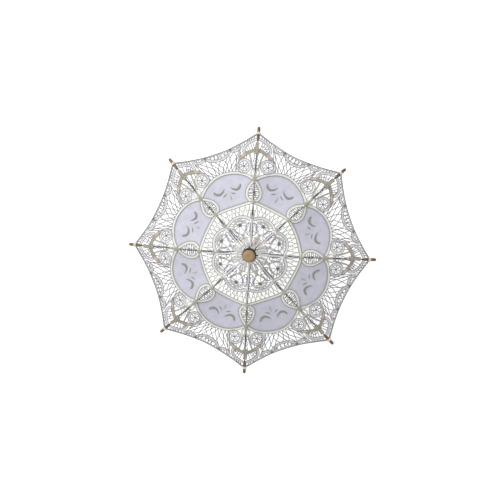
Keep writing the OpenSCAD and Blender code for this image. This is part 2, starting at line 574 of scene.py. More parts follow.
class Loom:
    """Takes the flat pattern's strands, and turns them into one mesh for each half gore."""

    def __init__(self, canopy: Canopy, seed: int) -> None:
        """A loom with no strands, and its own seeded source of unevenness.

        Args:
            canopy: the surface that the strands lie on.
            seed: the unevenness's seed.
        """
        self.canopy = canopy
        self.rng = np.random.default_rng(seed)
        self.strands: list[Strand] = []

    @staticmethod
    def uneven(plan: Array) -> Array:
        """Hand-made unevenness: each point shifts by up to 0.9 mm, and less near the hem.

        The shift is a sum of two sine waves of the plan coordinates, so it is smooth, and
        strands that meet stay together.

        Args:
            plan: plan points, one a row.

        Returns:
            The moved points.
        """
        x, y = plan[:, 0], plan[:, 1]
        fade = np.clip((168 - np.hypot(x, y)) / 25, 0, 1)
        dx = 0.6 * np.sin(x / 13 + y / 29 + 0.7) + 0.3 * np.sin(y / 8.3 - x / 31)
        dy = 0.6 * np.sin(y / 14 - x / 23 + 2.1) + 0.3 * np.sin(x / 7.7 + y / 37)
        return plan + np.c_[dx, dy] * fade[:, None]

    def add(
        self,
        azimuth: float,
        path: Array,
        section: Yarn | Tape | Stitching,
        dye: Dye,
        lift: float = 0.0,
        closed: bool = False,
    ) -> None:
        """Adds a strand.

        Args:
            azimuth: azimuth of the frame that the path is in.
            path: the strand's line in that frame.
            section: what it is.
            dye: its colour.
            lift: height above the surface.
            closed: whether it is a loop.
        """
        plan = self.uneven(turned(path, azimuth))
        self.strands.append(Strand(plan, section, dye, lift, closed))

    def thread(self, azimuth: float, start: Array, end: Array, dye: Dye, slack: float = 0.35) -> None:
        """A single thread between two points, which bends a little to one side."""
        bend = self.rng.uniform(-slack, slack) or slack
        self.add(azimuth, arc(start, end, bend, 7), THREAD, dye, THREAD_LIFT)

    def bars(
        self,
        azimuth: float,
        a: Array,
        b: Array,
        count: int,
        dye: Dye,
        skew: float = 0.0,
        links: float = 0.0,
    ) -> None:
        """Threads from one line to another, some tied together by short cross threads.

        Thread k starts at the share (k + 1/2) / count of line a, moved by up to a quarter
        of the spacing, and ends at the same share of line b, moved by skew spacings.

        Args:
            azimuth: azimuth of the frame that the lines are in.
            a: first line.
            b: second line.
            count: how many threads.
            dye: their colour.
            skew: how far the second ends are moved along, in spacings.
            links: share of the neighbouring pairs that a cross thread ties.
        """
        k = (np.arange(count) + 0.5) / count
        pull = self.rng.uniform(-0.25, 0.25, (2, count)) / count
        p, q = at(a, k + pull[0]), at(b, k + pull[1] + skew / count)
        for start, end in zip(p, q):
            self.thread(azimuth, start, end, dye)
        if links:
            h = self.rng.uniform(0.3, 0.7, (count, 2))
            tied = self.rng.random(count) < links
            for i in np.flatnonzero(tied[:-1]):
                one = p[i] + (q[i] - p[i]) * h[i, 0]
                two = p[i + 1] + (q[i + 1] - p[i + 1]) * h[i, 1]
                self.thread(azimuth, one, two, dye)

    @staticmethod
    def resampled(strand: Strand) -> tuple[Array, Array]:
        """The strand's line with even steps, and the distance along it.

        Args:
            strand: the strand.

        Returns:
            The points and the distances.
        """
        total = lengths(strand.path)[-1]
        count = max(3, int(round(total / strand.section.step)) + 1)
        return at(strand.path, np.linspace(0, 1, count)), np.linspace(0, total, count)

    def swept(self, strand: Strand) -> tuple[Array, Array, Array]:
        """Carries a strand's section along its line on the canopy.

        At each point the frame is the surface normal N made square to the line's own
        direction T, and B = N x T; a section point (a, h) lands at C + a B + h N.

        Args:
            strand: the strand.

        Returns:
            Ring points (ring, point, xyz), the distance along of each ring, and the plan
            points of the rings' middles.
        """
        plan, along = self.resampled(strand)
        line, n = self.canopy.lay(plan, strand.lift)
        t = np.gradient(line, axis=0)
        if strand.closed:
            t[0] = t[-1] = line[1] - line[-2]
        t /= np.maximum(np.linalg.norm(t, axis=1, keepdims=True), 1e-9)
        n = n - t * np.sum(n * t, axis=1, keepdims=True)
        n /= np.linalg.norm(n, axis=1, keepdims=True)
        b = np.cross(n, t)
        ring = strand.section.rings(along)
        points = line[:, None] + ring[..., :1] * b[:, None] + ring[..., 1:] * n[:, None]
        return points, along, plan

    def knit(self) -> list[MeshParts]:
        """Sweeps every strand and cuts it at the ribs and seams.

        A stretch between two rings belongs to the half gore that its middle lies in, and
        where that changes, both sides share the ring and are capped there.

        Returns:
            The parts of the sixteen half gores' meshes, counter-clockwise from rib 1.
        """
        halves = [MeshParts() for _ in range(2 * GORES)]
        for strand in self.strands:
            points, along, plan = self.swept(strand)
            mid = (plan[1:] + plan[:-1]) / 2
            owner = np.floor(np.arctan2(mid[:, 1], mid[:, 0]) / HALF).astype(int) % (2 * GORES)
            cuts = np.flatnonzero(np.diff(owner)) + 1
            if strand.closed and len(cuts):
                first = cuts[0]
                order = np.r_[np.arange(first, len(owner)), np.arange(first), first]
                points, along, owner = points[order], along[order], np.roll(owner, -first)
                cuts = np.flatnonzero(np.diff(owner)) + 1
            across = strand.section.across()
            whole = strand.closed and not len(cuts)
            for i, j in zip(np.r_[0, cuts], np.r_[cuts, len(owner)]):
                rings = points[i:j] if whole else points[i : j + 1]
                count, around = rings.shape[:2]
                quads, caps = tube_faces(count, around, whole)
                halves[owner[i]].add(
                    rings.reshape(-1, 3),
                    quads,
                    caps,
                    along=np.repeat(along[i : i + count], around),
                    across=np.tile(across, count),
                    dye=np.tile(strand.dye.value, (count * around, 1)),
                )
        return halves


# ---------------------------------------------------------------- finishes


class Graph:
    """A material with one Principled shader, and short ways to add nodes to it."""

    def __init__(self, name: str) -> None:
        """A new material of that name.

        Args:
            name: the material's name.
        """
        self.material = bpy.data.materials.new(name)
        self.material.use_nodes = True
        self.tree = self.material.node_tree
        self.shader = next(n for n in self.tree.nodes if n.type == "BSDF_PRINCIPLED")

    def node(self, kind: str, inputs: dict | None = None, **props: object) -> bpy.types.Node:
        """Adds a node.

        Args:
            kind: Blender's type name, without "ShaderNode".
            inputs: values or output sockets for its input sockets.
            **props: its properties.

        Returns:
            The node.
        """
        n = self.tree.nodes.new("ShaderNode" + kind)
        for key, value in props.items():
            setattr(n, key, value)
        for key, value in (inputs or {}).items():
            self.put(n.inputs[key], value)
        return n

    def put(self, socket: bpy.types.NodeSocket, value: object) -> None:
        """Links an output socket into a socket, or sets its value.

        Args:
            socket: an input socket.
            value: an output socket, or a plain value.
        """
        if isinstance(value, bpy.types.NodeSocket):
            self.tree.links.new(value, socket)
        else:
            socket.default_value = value

    def math(self, operation: str, a: object, b: object = 0.0) -> bpy.types.NodeSocket:
        """The result of a Math node."""
        return self.node("Math", {0: a, 1: b}, operation=operation).outputs[0]

    def value_of(self, name: str, output: str = "Fac") -> bpy.types.NodeSocket:
        """A vertex attribute."""
        return self.node("Attribute", attribute_name=name).outputs[output]

    def place(self, scale: Sequence[float], attribute: str = "") -> bpy.types.NodeSocket:
        """Object coordinates, or a vertex attribute, times a scale on each axis.

        Args:
            scale: the scale on each axis.
            attribute: the attribute's name, or nothing for Object coordinates.

        Returns:
            The vector's socket.
        """
        if attribute:
            source = self.value_of(attribute, "Vector")
        else:
            source = self.node("TexCoord").outputs["Object"]
        return self.node("Mapping", {"Vector": source, "Scale": tuple(scale)}).outputs[0]

    def noise(self, vector: object, scale: float, detail: float = 3.0) -> bpy.types.NodeSocket:
        """The factor of a noise texture."""
        inputs = {"Vector": vector, "Scale": scale, "Detail": detail}
        return self.node("TexNoise", inputs).outputs["Fac"]

    def ramp(self, factor: object, stops: Sequence[tuple[float, tuple]]) -> bpy.types.NodeSocket:
        """A colour ramp with these positions and colours.

        Args:
            factor: what picks the place between the colours.
            stops: positions and colours.

        Returns:
            The colour's socket.
        """
        n = self.node("ValToRGB", {0: factor})
        elements = n.color_ramp.elements
        while len(elements) < len(stops):
            elements.new(0.5)
        for e, (position, colour) in zip(elements, stops):
            e.position = position
            e.color = (*colour, 1.0)
        return n.outputs["Color"]

    def mix(self, factor: object, a: object, b: object, blend: str = "MIX") -> bpy.types.NodeSocket:
        """A mix of two colours.

        Args:
            factor: what picks the place between the colours.
            a: first colour.
            b: second colour.
            blend: Blender's name of the blend.

        Returns:
            The mixed colour's socket.
        """
        n = self.node("Mix", data_type="RGBA", blend_type=blend)
        for k, v in ((0, factor), (6, a), (7, b)):
            self.put(n.inputs[k], (*v, 1.0) if isinstance(v, tuple) and len(v) == 3 else v)
        return n.outputs[2]

    def bump(self, height: object, strength: float, distance_mm: float) -> None:
        """Bumps the shader's surface by a height."""
        inputs = {"Height": height, "Strength": strength, "Distance": distance_mm * MM}
        self.put(self.shader.inputs["Normal"], self.node("Bump", inputs).outputs[0])

    def shade(self, **sockets: object) -> None:
        """Sets the shader's sockets, whose names have underscores for spaces."""
        for key, value in sockets.items():
            self.put(self.shader.inputs[key.replace("_", " ")], value)


@dataclass(frozen=True)
class LaceFinish:
    """Cotton yarn and tape: matt, fuzzy, and each yarn in its own dye, with painted shade on the tapes'
    edge cords and in the darkness of the thin threads' colours.
    """

    name: str = "cotton lace"
    # edge: colour of the painted shade on the tapes' edge cords
    edge: tuple = (0.27, 0.28, 0.24)

    def make(self) -> bpy.types.Material:
        """The edge cords get a darker colour than the web, as painted shade, and fine ribs cross the tape.

        Returns:
            The material.
        """
        g = Graph(self.name)
        across = g.math("ABSOLUTE", g.value_of("across"))
        # on the tapes' edge cords, which take the painted shade
        on_shaded_edge = g.node("MapRange", {"Value": across, "From Min": 0.56, "From Max": 0.64}).outputs[0]
        mottle = g.noise(g.place((1, 1, 1)), 420)
        worn = g.ramp(mottle, [(0.25, (0.84,) * 3), (0.75, (1.0,) * 3)])
        dye = g.mix(1.0, g.value_of("dye", "Color"), worn, "MULTIPLY")
        dark, light = (tuple(k * c for c in self.edge) for k in (0.8, 1.25))
        # the edge cords' painted shade colour, mottled
        cord = g.ramp(mottle, [(0.2, dark), (0.8, light)])
        along = g.value_of("along")
        ribs = g.math("SINE", g.math("MULTIPLY", along, 2 * math.pi / 0.85))
        weft = g.math("SINE", g.math("MULTIPLY", g.value_of("across"), 26.0))
        g.bump(g.math("ADD", g.math("MULTIPLY", ribs, 0.5), g.math("MULTIPLY", weft, 0.3)), 0.5, 0.12)
        g.shade(Base_Color=g.mix(on_shaded_edge, dye, cord), Roughness=0.86, Specular_IOR_Level=0.2)
        g.shade(Sheen_Weight=0.25, Sheen_Roughness=0.6)
        return g.material


@dataclass(frozen=True)
class ClothFinish:
    """Fine plain-weave cloth, pale bluish lavender with uneven tone."""

    name: str = "lavender cloth"
    light: tuple = (0.60, 0.605, 0.69)
    dark: tuple = (0.52, 0.525, 0.60)
    # colour of the painted shade near the cloth's edges
    border_shade_colour: tuple = (0.41, 0.41, 0.45)
    thread_mm: float = 0.42

    def make(self) -> bpy.types.Material:
        """Two crossed sine waves of the cut's own coordinates make the weave.

        Painted shade darkens the cloth near its edges, next to the tapes.

        Returns:
            The material.
        """
        g = Graph(self.name)
        cut = g.value_of("cut", "Vector")
        split = g.node("SeparateXYZ", {0: cut}).outputs
        k = 2 * math.pi / self.thread_mm
        warp = g.math("SINE", g.math("MULTIPLY", split[0], k))
        weft = g.math("SINE", g.math("MULTIPLY", split[1], k))
        weave = g.math("MULTIPLY", warp, weft)
        slub = g.noise(g.node("Mapping", {"Vector": cut, "Scale": (0.25, 2.2, 1.0)}).outputs[0], 1.0, 4)
        cloud = g.noise(cut, 0.11, 5)
        tone = g.math("ADD", g.math("MULTIPLY", slub, 0.5), g.math("MULTIPLY", cloud, 0.5))
        g.bump(g.math("ADD", g.math("MULTIPLY", weave, 0.35), slub), 0.4, 0.1)
        # painted shade near the edges, carried by the vertex attribute "turning"
        border_shade = g.math("MULTIPLY", g.value_of("turning"), 0.75)
        colour = g.mix(border_shade, g.ramp(tone, [(0.36, self.dark), (0.62, self.light)]), self.border_shade_colour)
        g.shade(Base_Color=colour, Roughness=0.72, Specular_IOR_Level=0.25)
        g.shade(Sheen_Weight=0.3, Sheen_Roughness=0.5)
        return g.material


@dataclass(frozen=True)
class WoodFinish:
    """Varnished turned wood with growth rings, fine grain and pores.

    The rings are bands of the distance from a heart beside the axis, and the grain runs
    along the third coordinate. The coordinates are millimetres in the piece's own frame,
    from the vertex attribute "grain", or Object coordinates where attribute is "".
    """

    name: str
    light: tuple
    dark: tuple
    ring_mm: float = 1.5
    attribute: str = "grain"
    roughness: float = 0.42
    coat: float = 0.35

    def make(self) -> bpy.types.Material:
        """Rings, streaks along the grain and small pores set the colour and the bump.

        Returns:
            The material.
        """
        g = Graph(self.name)
        unit = 1.0 if self.attribute else 1 / MM
        p = g.place((unit, unit, 0.06 * unit), self.attribute)
        wander = g.node("TexNoise", {"Vector": p, "Scale": 0.16, "Detail": 3.0}).outputs["Color"]
        pull = g.node("VectorMath", {0: wander, 1: (4.0, 4.0, 4.0)}, operation="MULTIPLY").outputs[0]
        heart = g.node("VectorMath", {0: p, 1: pull}, operation="ADD").outputs[0]
        offset = g.node("VectorMath", {0: heart, 1: (-1.2, -2.6, 0.0)}, operation="ADD").outputs[0]
        split = g.node("SeparateXYZ", {0: offset}).outputs
        flat = g.node("CombineXYZ", {0: split[0], 1: split[1]}).outputs[0]
        far = g.node("VectorMath", {0: flat}, operation="LENGTH").outputs["Value"]
        rings = g.math("SINE", g.math("MULTIPLY", far, 2 * math.pi / self.ring_mm))
        streak = g.noise(g.place((3.2 * unit, 3.2 * unit, 0.12 * unit), self.attribute), 1.0, 5)
        pores = g.noise(g.place((7 * unit, 7 * unit, 0.5 * unit), self.attribute), 1.0, 2)
        tone = g.math("ADD", g.math("MULTIPLY", rings, 0.13), streak)
        base = g.ramp(tone, [(0.33, self.dark), (0.66, self.light)])
        pit = g.ramp(pores, [(0.36, (0.72, 0.66, 0.6)), (0.46, (1, 1, 1))])
        g.bump(g.math("ADD", g.math("MULTIPLY", rings, 0.25), pores), 0.25, 0.12)
        g.shade(
            Base_Color=g.mix(0.8, base, pit, "MULTIPLY"),
            Roughness=g.math("ADD", g.math("MULTIPLY", streak, 0.25), self.roughness - 0.12),
            Coat_Weight=self.coat,
            Coat_Roughness=0.25,
        )
        return g.material


@dataclass(frozen=True)
class MetalFinish:
    """Metal with drawing streaks and a little tarnish."""

    name: str
    colour: tuple
    worn: tuple
    roughness: float = 0.32
    metallic: float = 1.0
    streaks: tuple = (1.0, 1.0, 1.0)

    def make(self) -> bpy.types.Material:
        """Stretched noise roughens and tints the metal, and finer noise bumps it.

        Returns:
            The material.
        """
        g = Graph(self.name)
        p = g.place(tuple(s / MM for s in self.streaks))
        rub = g.noise(p, 0.9, 5)
        patch = g.noise(g.place((1 / MM,) * 3), 0.16, 4)
        tone = g.math("ADD", g.math("MULTIPLY", rub, 0.45), g.math("MULTIPLY", patch, 0.55))
        g.bump(rub, 0.15, 0.03)
        g.shade(
            Base_Color=g.ramp(tone, [(0.38, self.colour), (0.66, self.worn)]),
            Metallic=self.metallic,
            Roughness=g.math("ADD", g.math("MULTIPLY", rub, 0.3), self.roughness - 0.12),
        )
        return g.material


@dataclass(frozen=True)
class FloorFinish:
    """Matt white paper."""

    name: str = "white paper"
    colour: tuple = (0.86, 0.86, 0.86)
    glow: float = 0.42

    def make(self) -> bpy.types.Material:
        """A faint fibre bump, and enough glow to keep the paper white under the canopy.

        Returns:
            The material.
        """
        g = Graph(self.name)
        g.bump(g.noise(g.place((1, 1, 1)), 900, 2), 0.05, 0.1)
        g.shade(Base_Color=(*self.colour, 1.0), Roughness=0.9, Specular_IOR_Level=0.1)
        g.shade(Emission_Color=(1.0, 1.0, 1.0, 1.0), Emission_Strength=self.glow)
        return g.material


FINISHES = {
    "lace": LaceFinish(),
    "cloth": ClothFinish(),
    "finial": WoodFinish("golden wood", (0.44, 0.29, 0.145), (0.27, 0.16, 0.066), ring_mm=1.3, coat=0.1),
    "handle": WoodFinish("varnished handle wood", (0.52, 0.27, 0.10), (0.33, 0.15, 0.05)),
    "tips": WoodFinish("brown tip wood", (0.26, 0.15, 0.065), (0.10, 0.055, 0.025), ring_mm=1.1),
    "shaft": WoodFinish("pale stick wood", (0.64, 0.46, 0.26), (0.50, 0.33, 0.17), attribute="", coat=0.2),
    "wire": MetalFinish("dark steel wire", (0.05, 0.05, 0.055), (0.10, 0.10, 0.105), 0.4, 0.8),
    "bright wire": MetalFinish("bright steel wire", (0.24, 0.24, 0.25), (0.34, 0.34, 0.345), 0.38, 0.8),
    "nickel": MetalFinish("nickel plate", (0.62, 0.61, 0.58), (0.50, 0.48, 0.44), 0.28, 1.0, (1, 1, 0.1)),
    "black": MetalFinish("black lacquered metal", (0.02, 0.02, 0.02), (0.045, 0.042, 0.04), 0.42, 0.3),
    "floor": FloorFinish(),
}


class Wardrobe:
    """Makes each finish once and puts it on pieces."""

    def __init__(self) -> None:
        """Nothing is made yet."""
        self.made: dict[str, bpy.types.Material] = {}

    def dress(self, obj: bpy.types.Object, finish: str) -> bpy.types.Object:
        """Gives an object one finish.

        Args:
            obj: the object.
            finish: a key of FINISHES.

        Returns:
            The object.
        """
        if finish not in self.made:
            self.made[finish] = FINISHES[finish].make()
        obj.data.materials.clear()
        obj.data.materials.append(self.made[finish])
        return obj


WARDROBE = Wardrobe()


def report(obj: bpy.types.Object) -> None:
    """Logs a finished piece."""
    LOG.info("%s: %d faces", obj.name, len(obj.data.polygons))


# ---------------------------------------------------------------- the lace pattern


@dataclass(frozen=True)
class Middle:
    """The round of lace about the stick: loops, eight fans with woven dots, and a zigzag ring."""

    hub_r: float = 10.5
    base_r: float = 30.5
    fan_r: float = 50.0
    fan_deg: float = 20.5
    fan_rise: float = 9.4
    dot_r: float = 45.0
    knot_r: float = 54.0
    ring_r: float = 74.7
    ring_rise: float = 2.2
    teeth: int = 8
    drop: tuple = ((11.5, 0), (16.5, 2.7), (23.0, 3.6), (28.0, 0), (23.0, -3.6), (16.5, -2.7))
    eye: tuple = (
        (28.5, 2.4), (30.5, 6.6), (36.0, 8.2), (42.5, 7.2), (46.5, 3.6), (43.0, 1.8), (35.5, 1.6),
    )  # fmt: skip
    bell: tuple = ((30.5, 0.0), (34.5, 4.6), (40.0, 8.6), (45.5, 9.3), (49.6, 6.0), (51.0, 0.0))

    def fan(self, move: float = 0.0) -> Array:
        """The fan's outer arc in a gore's frame, moved outwards."""
        r = self.fan_r + move
        return arc(polar(r, -self.fan_deg), polar(r, self.fan_deg), self.fan_rise)

    def ring(self, move: float = 0.0) -> Array:
        """One side of the eight-sided ring of tape in a gore's frame, moved outwards."""
        r = self.ring_r + move
        return arc(polar(r, -HALF_DEG), polar(r, HALF_DEG), self.ring_rise)

    def weave_gore(self, loom: Loom, azimuth: float) -> None:
        """The part that stands on a gore's midline: the fan, the bell inside it, and its dot.

        Args:
            loom: takes the strands.
            azimuth: azimuth of the motif's frame.
        """
        base, dot = np.array([self.base_r, 0]), np.array([self.dot_r, 0])
        loom.add(azimuth, self.fan(), TAPE, Dye.LILAC_WHITE)
        side = spline(self.bell)
        bell = np.vstack([side, mirrored(side)[::-1][1:]])
        loom.add(azimuth, bell, NARROW, Dye.LILAC_WHITE, 0.05, True)
        loom.add(azimuth, spiral(dot, 2.4), THREAD, Dye.MOSS_DARK, 0.25)
        loom.add(azimuth, spiral(base, 2.4), THREAD, Dye.MOSS, 0.3)
        for share in np.linspace(0.1, 0.9, 7) + loom.rng.uniform(-0.02, 0.02, 7):
            loom.thread(azimuth, dot, at(bell, share), Dye.MAUVE_PALE)
        fan = part_of(self.fan(-2.4), 0.08, 0.92)
        loom.bars(azimuth, part_of(bell, 0.2, 0.8), fan, 9, Dye.MOSS, 0.3)
        for end in (polar(self.hub_r, -10), polar(self.hub_r, 10)):
            loom.thread(azimuth, base, end, Dye.MOSS)
        drop = spline(self.drop, True)
        loom.add(azimuth, drop, NARROW, Dye.LILAC_WHITE, 0.1, True)
        ends = [polar(27.5, -HALF_DEG), polar(27.5, HALF_DEG)]
        bow = spline([ends[0], (25.0, -5.4), (26.6, 0), (25.0, 5.4), ends[1]])
        loom.add(azimuth, bow, THREAD, Dye.MOSS)
        loom.add(azimuth, arc(polar(18.5, -HALF_DEG), polar(18.5, HALF_DEG), -1.4), FINE, Dye.MOSS)
        self.weave_zigzag(loom, azimuth)

    def weave_zigzag(self, loom: Loom, azimuth: float) -> None:
        """Threads that run back and forth between the ring of tape and the fans.

        Thread 2k runs from the ring's share k / teeth to the fans' share (k + 1/2) / teeth,
        and thread 2k + 1 back to the ring's share (k + 1) / teeth. A bowed thread ties each
        pair near the ring.

        Args:
            loom: takes the strands.
            azimuth: azimuth of the motif's frame.
        """
        outer = self.ring(-2.2)
        knot = self.knot_r + 1.5
        fan = part_of(self.fan(2.5), 0.06, 0.94)
        inner = np.vstack([polar(knot, -HALF_DEG), fan, polar(knot, HALF_DEG)])
        k = np.arange(self.teeth)
        wobble = loom.rng.uniform(-0.18, 0.18, (2, self.teeth))
        low = at(inner, (k + 0.5 + wobble[0]) / self.teeth)
        top = at(outer, np.r_[0.012, (k[1:] + wobble[1, 1:]) / self.teeth, 0.988])
        for i in k:
            loom.thread(azimuth, top[i], low[i], Dye.MOSS)
            loom.thread(azimuth, low[i], top[i + 1], Dye.MOSS)
            a, b = top[i] + (low[i] - top[i]) * 0.45, top[i + 1] + (low[i] - top[i + 1]) * 0.45
            loom.add(azimuth, arc(a, b, -1.1, 9), THREAD, Dye.MOSS)

    def weave_rib(self, loom: Loom, azimuth: float) -> None:
        """The part that stands on a rib: a narrow tape over it, and a loop on each side.

        Args:
            loom: takes the strands.
            azimuth: azimuth of the motif's frame.
        """
        spine = np.array([(12.0, 0.0), (33.0, 0.3), (self.knot_r, 0.0)])
        loom.add(azimuth, spine, NARROW, Dye.LILAC_WHITE, 0.3)
        eye = spline(self.eye, True)
        for loop in (eye, mirrored(eye)):
            loom.add(azimuth, loop, THREAD, Dye.MAUVE, closed=True)
            web = (loop - np.mean(loop, axis=0)) * 0.5 + np.mean(loop, axis=0)
            loom.add(azimuth, web, FINE, Dye.MAUVE_PALE, closed=True)
            loom.bars(azimuth, loop[::2], web[::2], 5, Dye.MAUVE)
        loom.add(azimuth, spiral((self.knot_r, 0), 2.2), THREAD, Dye.MOSS, 0.5)
        near, far = np.array([(14, 1.5), (27, 5.5)]), np.array([(15, 4.0), (25, 9.0)])
        loom.bars(azimuth, near, far, 3, Dye.MOSS)
        loom.bars(azimuth, mirrored(near), mirrored(far), 3, Dye.MOSS)


@dataclass(frozen=True)
class PanelBorder:
    """Tapes about the cloth panels, and the leaf of net that covers each rib between them."""

    lobe_r: float = 108.0
    lobe_rise: float = 24.2
    leaf: tuple = (
        (76.2, 0.0), (77.9, 6.0), (83.5, 9.8), (91.0, 10.0),
        (98.0, 7.2), (104.2, 3.0), (108.0, 0.0),
    )  # fmt: skip
    rungs: int = 9

    def lobe(self, move: float = 0.0) -> Array:
        """The round outer edge of a panel in a gore's frame, moved outwards."""
        r = self.lobe_r + move
        return arc(polar(r, -HALF_DEG), polar(r, HALF_DEG), self.lobe_rise, 65)

    def leaf_side(self) -> Array:
        """The counter-clockwise side of the leaf in a rib's frame, from its inner end out."""
        return spline(self.leaf)

    def weave_gore(self, loom: Loom, azimuth: float, middle: Middle) -> None:
        """The tapes along a panel's inner and outer edge."""
        loom.add(azimuth, self.lobe(), TAPE, Dye.IVORY, 0.15)
        loom.add(azimuth, middle.ring(), TAPE, Dye.IVORY, 0.1)

    def weave_rib(self, loom: Loom, azimuth: float) -> None:
        """The leaf: its tape, a net of slanting threads, and a knot at each end.

        Args:
            loom: takes the strands.
            azimuth: azimuth of the motif's frame.
        """
        side = self.leaf_side()
        outline = np.vstack([side, mirrored(side)[::-1][1:]])
        loom.add(azimuth, outline, TAPE, Dye.IVORY, 0.2, True)
        stretch = part_of(side, 0.2, 0.88)
        one = stretch * [1, 0.85]
        other = mirrored(one)
        loom.bars(azimuth, one, other, self.rungs, Dye.MAUVE, 0.9, 0.6)
        loom.bars(azimuth, other, one, self.rungs - 3, Dye.MOSS, 1.1, 0.0)
        point = np.array([(105.5, 0.0), (109.5, 0.4), (114.0, 0.0)])
        loom.add(azimuth, point, Stitching(3.2, 0.95, 0.9), Dye.SAND, 0.45)
        loom.add(azimuth, spiral((75.8, 0), 2.4), THREAD, Dye.MOSS_PALE, 0.6)


@dataclass(frozen=True)
class TipMotif:
    """The flower-like motif of tape loops on a rib, between the panels and the rib's tip."""

    ear: tuple = (
        (170.0, 1.8), (167.0, 8.0), (162.5, 14.5), (156.5, 19.0), (150.5, 19.5), (145.5, 15.5),
    )  # fmt: skip
    arm: tuple = ((154.0, -2.0), (152.2, 4.6), (148.8, 11.4), (144.4, 17.8), (139.0, 23.6))
    loop: tuple = (
        (136.0, 11.5), (137.5, 18.5), (133.4, 25.0), (126.6, 26.6),
        (121.2, 22.8), (119.6, 16.2), (122.8, 10.6), (129.6, 8.2),
    )  # fmt: skip
    petal: tuple = ((113.5, 0.9), (114.5, 3.8), (119.0, 6.2), (123.5, 4.8), (124.4, 2.4), (120.0, 1.2))
    ring_x: float = 137.0
    ring_r: float = 3.4

    def arm_end(self, sign: int) -> Array:
        """Outer end of an arm in the rib's frame."""
        return np.array([self.arm[-1][0], sign * self.arm[-1][1]])

    def weave(self, loom: Loom, azimuth: float, hem: "Hem") -> None:
        """Weaves both sides of the motif and what stands on the rib itself.

        Args:
            loom: takes the strands.
            azimuth: azimuth of the motif's frame.
            hem: the hem, which the ears' bars reach.
        """
        for sign in (1, -1):
            flip = np.array([1, sign])
            ear, arm = spline(self.ear) * flip, spline(self.arm) * flip
            loop, petal = spline(self.loop, True) * flip, spline(self.petal, True) * flip
            loom.add(azimuth, ear, TAPE, Dye.LILAC_WHITE, 0.1)
            loom.add(azimuth, arm, BAND, Dye.SAND, 0.35)
            loom.add(azimuth, part_of(arm, 0.6, 0.98, 9), Stitching(2.0, 0.5), Dye.ROSE, 0.75)
            loom.add(azimuth, loop, TAPE, Dye.LILAC_WHITE, 0.1, True)
            loom.add(azimuth, petal, NARROW, Dye.IVORY, 0.1, True)
            self.weave_nets(loom, azimuth, ear, arm, loop, flip)
            edge = turned(hem.line(-0.985 * np.ones(1)), HALF_DEG)[0] * flip
            near = turned(CANOPY.hem(np.linspace(-0.97, -0.66, 12), 0.8), HALF_DEG) * flip
            loom.bars(azimuth, part_of(ear, 0.1, 0.75), near, 5, Dye.MAUVE, 0.3)
            loom.thread(azimuth, edge, ear[0], Dye.MAUVE)
        self.weave_middle(loom, azimuth)

    def weave_nets(
        self, loom: Loom, azimuth: float, ear: Array, arm: Array, loop: Array, flip: Array
    ) -> None:
        """Nets inside the ear and the side loop, and threads between the tapes.

        Args:
            loom: takes the strands.
            azimuth: azimuth of the motif's frame.
            ear: the ear's line.
            arm: the arm's line.
            loop: the side loop's line.
            flip: (1, 1) or (1, -1), for the side of the rib.
        """
        loom.bars(azimuth, part_of(ear, 0.15, 0.92), part_of(arm, 0.12, 0.66), 6, Dye.MAUVE, 0.2, 0.7)
        hub = np.mean(self.loop, axis=0) * flip
        loom.add(azimuth, spiral(hub, 1.3), FINE, Dye.MAUVE, 0.1)
        for share in np.linspace(0, 1, 8)[:-1] + loom.rng.uniform(-0.03, 0.03, 7):
            loom.thread(azimuth, hub, at(loop, share % 1), Dye.MAUVE)
        web = (loop - hub) * 0.5 + hub
        loom.add(azimuth, web, FINE, Dye.MAUVE_PALE, closed=True)
        loom.bars(azimuth, part_of(loop, 0.02, 0.24), part_of(arm, 0.5, 0.9), 3, Dye.MAUVE)
        stem = spline([(123.8, 3.6), (131.0, 5.2), (139.0, 7.4), (147.5, 10.5)]) * flip
        loom.add(azimuth, stem, NARROW, Dye.MOSS_PALE, 0.15)

    def weave_middle(self, loom: Loom, azimuth: float) -> None:
        """The trunk above the arms, the little ring with its dot, and the diamond of threads.

        Args:
            loom: takes the strands.
            azimuth: azimuth of the motif's frame.
        """
        loom.add(azimuth, spline([(150.0, 0.0), (157.0, 0.5), (164.5, 0.0)]), BAND, Dye.SAND, 0.6)
        loom.add(azimuth, spline([(147.5, -3.2), (150.5, 0), (147.5, 3.2)]), BAND, Dye.SAND, 0.95)
        a = np.linspace(0, 2 * math.pi, 25)
        ring = np.c_[self.ring_x + self.ring_r * np.cos(a), self.ring_r * np.sin(a)]
        loom.add(azimuth, ring, THREAD, Dye.MAUVE, 0.2, True)
        loom.add(azimuth, spiral((self.ring_x, 0), 1.5, 0.75), THREAD, Dye.SLATE, 0.3)
        for y in (-3.0, 3.0):
            near, far = self.ring_x - 3.0, self.ring_x + 3.2
            loom.thread(azimuth, np.array([113.5, y * 0.3]), np.array([near, y * 0.4]), Dye.MAUVE)
            loom.thread(azimuth, np.array([far, y * 0.4]), np.array([147.5, y]), Dye.MAUVE)
        loom.thread(azimuth, np.array([126.0, -4.0]), np.array([126.0, 4.0]), Dye.MAUVE)
        loom.thread(azimuth, np.array([131.0, -4.4]), np.array([130.6, 4.4]), Dye.MAUVE)


